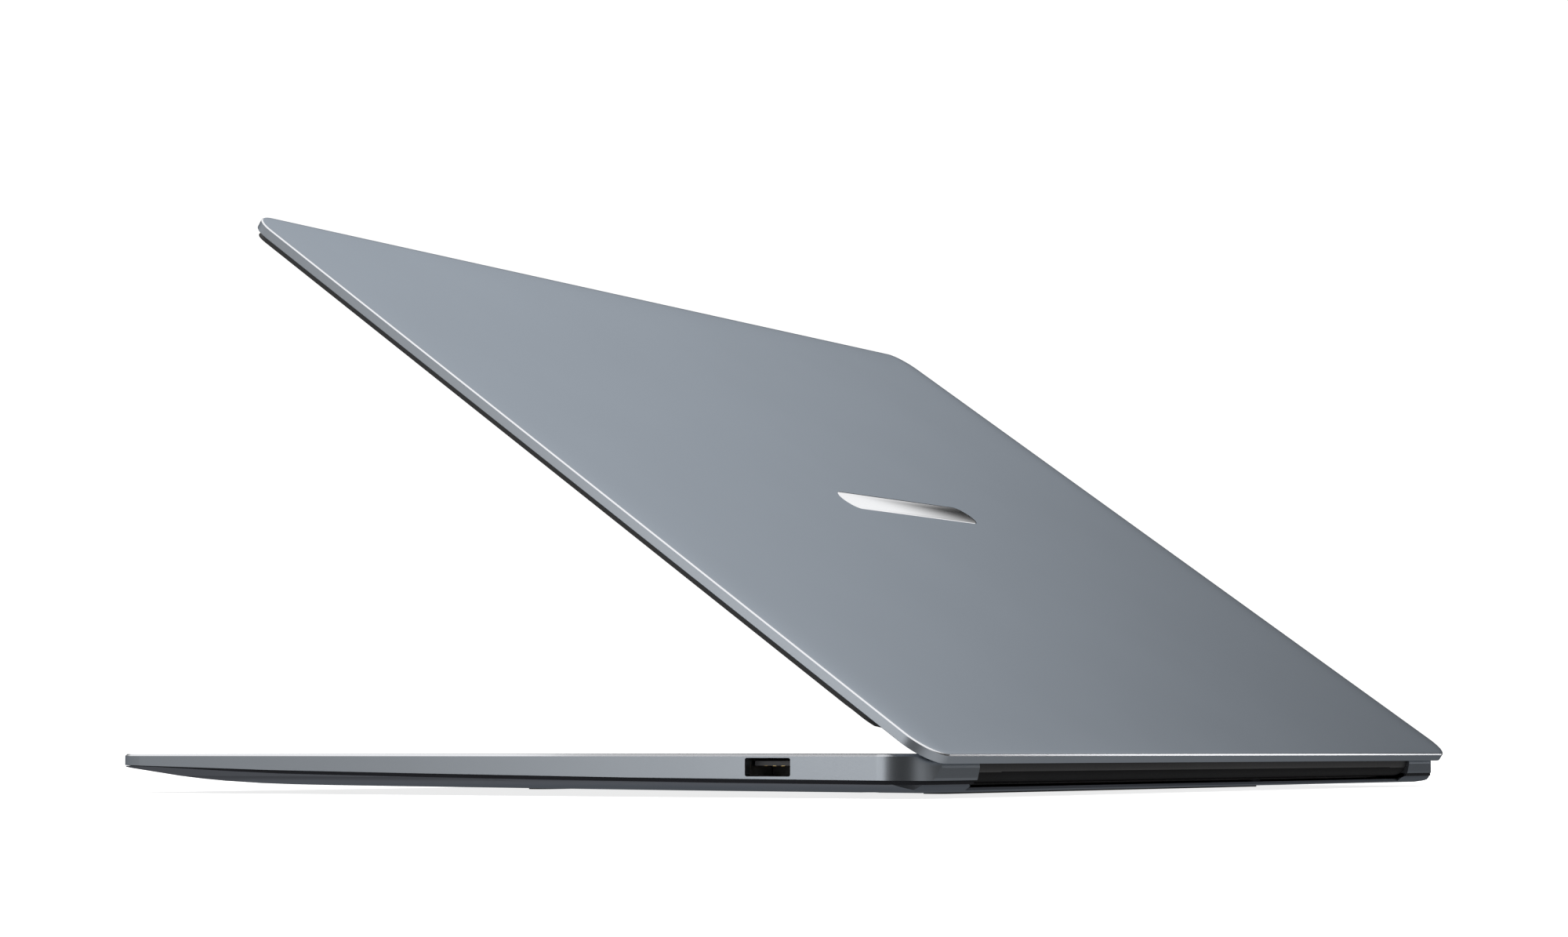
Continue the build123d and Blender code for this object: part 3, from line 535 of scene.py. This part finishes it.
def barrel_sleeves():
    """Ends of the hinge barrel: open sleeves round the knuckles, clear of the fixed halves."""
    outline = sleeve_arc(*SLEEVE_OUTER) + list(reversed(sleeve_arc(*SLEEVE_INNER)))
    for side, label in ((-1, "left"), (1, "right")):
        bm = bmesh.new()
        rings = [[bm.verts.new((side * x, y, z)) for y, z in outline] for x in SLEEVE_X]
        stack(bm, rings)
        piece = finish_piece(bm, "barrel_sleeve_" + label, LID_MM, ["hinge"], 40)
        # Painted shade on the sleeves' downward faces, as on the barrel
        paint_underside_shade(piece)
        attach(piece, "lid")


# Screen seal: cross-section (inset, z), rear edge and corner radius of the frame that it runs round
GASKET_PROFILE = [(1.75, 2.84), (1.8, 2.66), (2.0, 2.58), (2.3, 2.58), (2.5, 2.66), (2.55, 2.84)]
GASKET_REAR = LID_REAR - 19.0
GASKET_RADIUS = 7.6
GASKET_STEPS = 8


def screen_seal():
    """Soft black seal round the screen frame that meets the deck when the lid is shut."""
    bm = bmesh.new()
    rings = []
    for inset, z in GASKET_PROFILE:
        half_x = LID_HALF - inset
        radius = GASKET_RADIUS - inset
        points = rounded_ring(half_x, LID_FRONT + inset, GASKET_REAR - inset, radius, GASKET_STEPS)
        rings.append(add_ring(bm, points, z))
    for a, b in zip(rings, rings[1:] + rings[:1]):
        bridge(bm, a, b)
    piece = finish_piece(bm, "screen_seal", LID_MM, ["rubber"], 40)
    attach(piece, "lid")


def disc(cx, cy, r, count, start=0):
    """Regular outline round a point."""
    angles = [math.radians(start + 360 * i / count) for i in range(count)]
    return [(cx + r * math.cos(a), cy + r * math.sin(a)) for a in angles]


# Webcam lens from the ring's back to the glass: (radius, z, material slot); slot 1 is the glass
LENS_Y = -239.3
LENS_SIDES = 24
LENS_PROFILE = [
    (1.22, 3.1, 0),
    (1.22, 2.9, 0),
    (1.16, 2.86, 0),
    (0.98, 2.88, 0),
    (0.92, 2.98, 0),
    (0.85, 2.97, 1),
    (0.55, 2.93, 1),
    (0.2, 2.91, 1),
]


def webcam_lens():
    """Domed lens in a stepped ring."""
    bm = bmesh.new()
    rings = [add_ring(bm, disc(0.0, LENS_Y, r, LENS_SIDES), z) for r, z, slot in LENS_PROFILE]
    stack(bm, rings, [slot for r, z, slot in LENS_PROFILE])
    piece = finish_piece(bm, "webcam_lens", LID_MM, ["frame", "glass"], 40)
    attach(piece, "lid")


lid_shell()
emblem_bar()
barrel_sleeves()
screen_seal()
webcam_lens()


# ---------------------------------------------------------------- base seam shade strip

# Base outline in mm, inner ends of the rear corner blocks, and rear edge of the bottom cover
BASE_HALF = 178.35
BASE_FRONT = -125.9
BASE_REAR = 122.4
BASE_RADIUS = 11.5
BASE_CORNER_STEPS = 24
BLOCK_INNER = 149.0
COVER_REAR = 121.12

# Seam between the side walls and the bottom cover, from front to rear: (y, z)
SEAM = [
    (-125.9, 7.2),
    (-114.6, 7.1),
    (-82.0, 6.3),
    (-30.6, 5.45),
    (18.4, 4.8),
    (64.4, 4.35),
    (112.0, 4.08),
    (122.6, 4.0),
]

# Seam shade strip, a black strip that stands for the shade in the seam: insets of its outer and inner
# faces, how far it rises past the seam, how much less deep its outer face is, its depth, the length over
# which that grows from a small share at the front, and its steps
SHADE_STRIP_OUTER = 0.05
SHADE_STRIP_INNER = 0.7
SHADE_STRIP_RISE = 0.02
SHADE_STRIP_SLANT = 0.1
SHADE_STRIP_DEPTH = 1.0
SHADE_STRIP_REACH = 60.0
SHADE_STRIP_SHARE_MIN = 0.08
SHADE_STRIP_STEP = 8.0


def seam_height(y):
    """Height of the seam at a place along the side."""
    for (y0, z0), (y1, z1) in zip(SEAM, SEAM[1:]):
        if y <= y1:
            return z0 + (z1 - z0) * (y - y0) / (y1 - y0)
    return SEAM[-1][1]


def seam_path(inset):
    """Outline from one rear corner round the front to the other, in short steps, kept to the cover."""
    radius = BASE_RADIUS - inset
    half_x = BASE_HALF - inset
    ring = rounded_ring(half_x, BASE_FRONT + inset, BASE_REAR - inset, radius, BASE_CORNER_STEPS)
    half = len(ring) // 2
    corners = ring[half:] + ring[:half]
    corners = [(-BLOCK_INNER, corners[0][1])] + corners + [(BLOCK_INNER, corners[-1][1])]
    path = []
    for (x0, y0), (x1, y1) in zip(corners, corners[1:]):
        steps = max(1, round(math.hypot(x1 - x0, y1 - y0) / SHADE_STRIP_STEP))
        for i in range(steps):
            path.append((x0 + (x1 - x0) * i / steps, y0 + (y1 - y0) * i / steps))
    path.append(corners[-1])
    return [(x, min(y, COVER_REAR - inset)) for x, y in path]


def shade_strip_section(outer, inner):
    """Corners of the shade strip's cross-section at one place along it."""
    x0, y0 = outer
    x1, y1 = inner
    seam = seam_height(y0)
    share = (y0 - BASE_FRONT) / SHADE_STRIP_REACH
    depth = SHADE_STRIP_DEPTH * min(1.0, max(SHADE_STRIP_SHARE_MIN, share))
    top = seam + SHADE_STRIP_RISE
    return [(x0, y0, top), (x0, y0, seam - depth + SHADE_STRIP_SLANT), (x1, y1, seam - depth), (x1, y1, top)]


def seam_shade_strip():
    """Black strip in the joint between the side walls and the bottom cover: painted shade for the recess
    there.
    """
    bm = bmesh.new()
    sections = []
    for outer, inner in zip(seam_path(SHADE_STRIP_OUTER), seam_path(SHADE_STRIP_INNER)):
        sections.append([bm.verts.new(point) for point in shade_strip_section(outer, inner)])
    stack(bm, sections)
    piece = finish_piece(bm, "seam_shade_strip", MM_SCALE, ["seam_shade"], 50)
    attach(piece, "base")


seam_shade_strip()


# ---------------------------------------------------------------- keys

KEY_TOP = 10.1
KEY_LOW = 8.6
DISH = 0.16
KEY_CORNER_STEPS = 5
KEY_CORE = 1.2

# Vertices of the CAD mesh that agree to this many steps per metre are at one place
PLACES_PER_M = 1e5

# Levels of one keycap from its skirt to the dish: (inset, z, corner radius)
KEY_PROFILE = [
    (0.10, KEY_LOW, 1.2),
    (0.0, KEY_LOW + 0.12, 1.3),
    (0.03, KEY_TOP - 0.42, 1.3),
    (0.12, KEY_TOP - 0.18, 1.25),
    (0.32, KEY_TOP - 0.04, 1.2),
    (0.62, KEY_TOP, 1.15),
    (1.3, KEY_TOP - 0.05, 1.1),
    (2.4, KEY_TOP - 0.6 * DISH, 0.9),
    (3.0, KEY_TOP - 0.75 * DISH, 0.7),
]


def root(parent, i):
    """First vertex of the group that a vertex belongs to."""
    while parent[i] != i:
        parent[i] = parent[parent[i]]
        i = parent[i]
    return i


def group_vertices(mesh):
    """Group number of each vertex: joined by an edge or at the same place means one group."""
    parent = list(range(len(mesh.vertices)))
    places = {}
    for vertex in mesh.vertices:
        place = tuple(round(c * PLACES_PER_M) for c in vertex.co)
        if place in places:
            parent[root(parent, vertex.index)] = root(parent, places[place])
        else:
            places[place] = vertex.index
    for edge in mesh.edges:
        a, b = edge.vertices
        parent[root(parent, a)] = root(parent, b)
    return [root(parent, i) for i in range(len(parent))]


def key_boxes(node):
    """Footprints (x0, x1, y0, y1) in mm of each separate key in a CAD node, front row first."""
    mesh = frame["nodes"][node].data
    xs = {}
    ys = {}
    for vertex, group in zip(mesh.vertices, group_vertices(mesh)):
        xs.setdefault(group, []).append(vertex.co.x / MM)
        ys.setdefault(group, []).append(vertex.co.y / MM)
    boxes = [(min(xs[k]), max(xs[k]), min(ys[k]), max(ys[k])) for k in xs]
    return sorted(boxes, key=lambda box: (round(box[2], 1), box[0]))


def box_centre(box):
    """Middle (x, y) of a key's footprint."""
    x0, x1, y0, y1 = box
    return (x0 + x1) / 2, (y0 + y1) / 2


def offset_ring(box, inset, r):
    """Rounded outline of one key drawn in by inset."""
    x0, x1, y0, y1 = box
    cx = box_centre(box)[0]
    points = rounded_ring((x1 - x0) / 2 - inset, y0 + inset, y1 - inset, r, KEY_CORNER_STEPS)
    return [(x + cx, y) for x, y in points]


def keycap(bm, box):
    """One chiclet key: skirt, soft edge and a shallow dish. Narrow keys leave out the inner levels."""
    x0, x1, y0, y1 = box
    room = min(x1 - x0, y1 - y0) / 2 - KEY_CORE
    levels = [level for level in KEY_PROFILE if level[0] < room]
    stack(bm, [add_ring(bm, offset_ring(box, inset, r), z) for inset, z, r in levels])


def key_bank(node):
    """All keys of one body as one detailed piece."""
    bm = bmesh.new()
    for box in key_boxes(node):
        keycap(bm, box)
    piece = finish_piece(bm, node + "_caps", MM_SCALE, ["key"], 35)
    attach(piece, node)
    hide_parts(node)


# Marks on the keys, in mm: each starts inside the key and ends just above its highest level
DISH_FLOOR = KEY_TOP - DISH
ARROW_RADIUS = 1.3
ARROW_TOP = KEY_TOP + 0.01
HOMING_KEYS = (3, 6)
HOMING_HALF_X = 1.8
HOMING_HALF_Y = 0.22
HOMING_UP = 3.4
HOMING_TOP = KEY_TOP + 0.02
LIGHT_INSET = 2.6
LIGHT_RADIUS = 0.45
LIGHT_SIDES = 16
LIGHT_LOW = KEY_TOP - 0.3
LIGHT_TOP = KEY_TOP + 0.01


def key_mark(name, node, outlines, z0, z1, finish):
    """Thin raised marks on one body's keys."""
    bm = bmesh.new()
    for outline in outlines:
        stack(bm, [add_ring(bm, outline, z0), add_ring(bm, outline, z1)])
    piece = finish_piece(bm, name, MM_SCALE, [finish], 30)
    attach(piece, node)


def arrow_signs():
    """Triangles on the arrow keys that point up, left, down and right."""
    arrows = key_boxes("keys_arrows")
    up = max(arrows, key=lambda box: box[2] + box[3])
    low_row = sorted([box for box in arrows if box is not up], key=lambda box: box[0])
    signs = []
    for box, turn in zip([up] + low_row, (90, 180, 270, 0)):
        cx, cy = box_centre(box)
        signs.append(disc(cx, cy, ARROW_RADIUS, 3, turn))
    key_mark("arrow_signs", "keys_arrows", signs, DISH_FLOOR, ARROW_TOP, "mark")


def homing_bars():
    """Short bars on the two keys where the forefingers rest."""
    home = key_boxes("keys_home_row")
    bars = []
    for number in HOMING_KEYS:
        x = box_centre(home[number])[0]
        y = home[number][2] + HOMING_UP
        left, right = x - HOMING_HALF_X, x + HOMING_HALF_X
        near, far = y - HOMING_HALF_Y, y + HOMING_HALF_Y
        bars.append([(left, near), (right, near), (right, far), (left, far)])
    key_mark("homing_bars", "keys_home_row", bars, DISH_FLOOR, HOMING_TOP, "key")


def caps_light():
    """Round light in the far left corner of the caps lock key."""
    x0, x1, y0, y1 = key_boxes("key_caps_lock")[0]
    light = disc(x0 + LIGHT_INSET, y1 - LIGHT_INSET, LIGHT_RADIUS, LIGHT_SIDES)
    key_mark("caps_light", "key_caps_lock", [light], LIGHT_LOW, LIGHT_TOP, "mark")


for key_node in KEY_NODES:
    key_bank(key_node)
arrow_signs()
homing_bars()
caps_light()


# ---------------------------------------------------------------- stage, light, camera

# Brightness of the room by height of direction, from -1 straight down to 1 straight up: (height, level)
ROOM = [(-1.0, 1.0), (-0.55, 0.42), (-0.14, 0.32), (0.05, 0.47), (0.4, 0.75), (1.0, 0.95)]

# The same on the room's darker side: dark from 12 degrees below level to 23 above it, white from 26
FLAG = [
    (-1.0, 0.9),
    (-0.6, 0.5),
    (-0.4, 0.34),
    (-0.2, 0.14),
    (0.02, 0.17),
    (0.14, 0.05),
    (0.388, 0.015),
    (0.438, 0.97),
    (1.0, 0.97),
]
FLAG_DIRECTION = (-0.985, 0.17, 0.0)
FLAG_EDGE = (-0.2, 0.7)

# Dark screen round the camera: its direction, where its soft edge starts and ends, and its brightness
SCREEN_DIRECTION = (0.86, 0.51, 0.0)
SCREEN_EDGE = (0.7, 0.96)
SCREEN_LEVEL = 0.15

BACKDROP_LEVEL = 1.05
FLOOR_SIZE = 60.0
FLOOR_GREY = 0.42
FLOOR_GLOW = 0.8
FLOOR_GAP = 0.2 * MM


def ground():
    """Large pale floor that glows softly, like a light table."""
    bm = bmesh.new()
    bmesh.ops.create_grid(bm, x_segments=2, y_segments=2, size=FLOOR_SIZE)
    mesh = bpy.data.meshes.new("floor")
    bm.to_mesh(mesh)
    bm.free()
    mat, nodes, links, shader = new_material("floor_finish", (FLOOR_GREY,) * 3, 0.0, 0.9)
    shader.inputs["Specular IOR Level"].default_value = 0.1
    shader.inputs["Emission Color"].default_value = (1, 1, 1, 1)
    shader.inputs["Emission Strength"].default_value = FLOOR_GLOW
    mesh.materials.append(mat)
    obj = add_object("floor", mesh)
    obj.location.z = cad_lo.z - FLOOR_GAP
    obj.visible_glossy = False


def sky_ramp(nodes, links, height, stops):
    """Grey level by height of the direction."""
    return ramp(nodes, links, height, [((z + 1) / 2, (level,) * 3) for z, level in stops])


def toward(nodes, links, coord, direction):
    """How nearly each direction of the room agrees with one direction."""
    node = nodes.new("ShaderNodeVectorMath")
    node.operation = "DOT_PRODUCT"
    node.inputs[1].default_value = direction
    links.new(coord.outputs["Generated"], node.inputs[0])
    return node.outputs["Value"]


def blend_colors(nodes, links, share, first, second):
    """Mix of two colours by a factor."""
    node = nodes.new("ShaderNodeMix")
    node.data_type = "RGBA"
    links.new(share, node.inputs["Factor"])
    inputs = [socket for socket in node.inputs if socket.type == "RGBA"]
    links.new(first, inputs[0])
    links.new(second, inputs[1])
    return [socket for socket in node.outputs if socket.type == "RGBA"][0]


def shaded(nodes, links, coord, color):
    """Room colour dimmed around one direction, as a dark screen would."""
    facing = toward(nodes, links, coord, SCREEN_DIRECTION)
    dim = remap(nodes, links, facing, 1.0, SCREEN_LEVEL, *SCREEN_EDGE, kind="SMOOTHSTEP")
    scale = nodes.new("ShaderNodeVectorMath")
    scale.operation = "SCALE"
    links.new(color, scale.inputs[0])
    links.new(dim, scale.inputs["Scale"])
    return scale.outputs["Vector"]


def room_light(nodes, links):
    """What the object is lit by: a bright room with one darker side to shape the metal."""
    coord = nodes.new("ShaderNodeTexCoord")
    split = nodes.new("ShaderNodeSeparateXYZ")
    links.new(coord.outputs["Generated"], split.inputs["Vector"])
    height = remap(nodes, links, split.outputs["Z"], 0.0, 1.0, -1.0, 1.0)
    room = sky_ramp(nodes, links, height, ROOM)
    flag = sky_ramp(nodes, links, height, FLAG)
    facing = toward(nodes, links, coord, FLAG_DIRECTION)
    side = remap(nodes, links, facing, 0.0, 1.0, *FLAG_EDGE, kind="SMOOTHSTEP")
    light = nodes.new("ShaderNodeBackground")
    color = shaded(nodes, links, coord, blend_colors(nodes, links, side, room, flag))
    links.new(color, light.inputs["Color"])
    return light.outputs["Background"]


def studio_world():
    """White surround to the eye, and the room's light for everything else."""
    world = bpy.data.worlds.new("studio")
    bpy.context.scene.world = world
    world.use_nodes = True
    nodes, links = world.node_tree.nodes, world.node_tree.links
    nodes.clear()
    seen = nodes.new("ShaderNodeBackground")
    seen.inputs["Color"].default_value = (1, 1, 1, 1)
    seen.inputs["Strength"].default_value = BACKDROP_LEVEL
    path = nodes.new("ShaderNodeLightPath")
    mix = nodes.new("ShaderNodeMixShader")
    links.new(path.outputs["Is Camera Ray"], mix.inputs[0])
    links.new(room_light(nodes, links), mix.inputs[1])
    links.new(seen.outputs["Background"], mix.inputs[2])
    out = nodes.new("ShaderNodeOutputWorld")
    links.new(mix.outputs["Shader"], out.inputs["Surface"])


def sun(name, direction, strength, angle):
    """Broad distant light for plastic and rubber; glossy rays see only the room."""
    data = bpy.data.lights.new(name, "SUN")
    data.energy = strength
    data.angle = math.radians(angle)
    obj = add_object(name, data)
    obj.rotation_euler = Vector(direction).to_track_quat("Z", "Y").to_euler()
    obj.visible_glossy = False


def softbox(name, place, size, power):
    """Square area light aimed at the origin."""
    data = bpy.data.lights.new(name, "AREA")
    data.size = size
    data.energy = power
    obj = add_object(name, data)
    obj.location = place
    obj.rotation_euler = Vector(place).to_track_quat("Z", "Y").to_euler()
    obj.visible_camera = False


# The photograph's view, solved from the object's own corners and edges
CAMERA_PLACE = (0.82741, 0.47205, 0.0106)
CAMERA_PITCH = 92.53
CAMERA_TURN = 120.739
CAMERA_LENS = 73.583
CAMERA_SHIFT = 0.0907


def camera():
    """Low view from behind the right-hand side."""
    data = bpy.data.cameras.new("camera")
    data.sensor_width = 36.0
    data.lens = CAMERA_LENS
    data.shift_y = CAMERA_SHIFT
    data.clip_start = 0.01
    data.clip_end = 200.0
    obj = add_object("camera", data)
    obj.location = CAMERA_PLACE
    obj.rotation_euler = (math.radians(CAMERA_PITCH), 0, math.radians(CAMERA_TURN))
    bpy.context.scene.camera = obj


ground()
studio_world()
sun("key_light", direction=(0.2, -0.05, 0.97), strength=2.2, angle=55)
softbox("side_light", place=(2.4, -0.75, 0.35), size=1.2, power=5.0)
softbox("strip_light", place=(-2.72, 1.16, 0.52), size=0.7, power=2.2)
camera()
bpy.context.scene.view_settings.view_transform = "Standard"
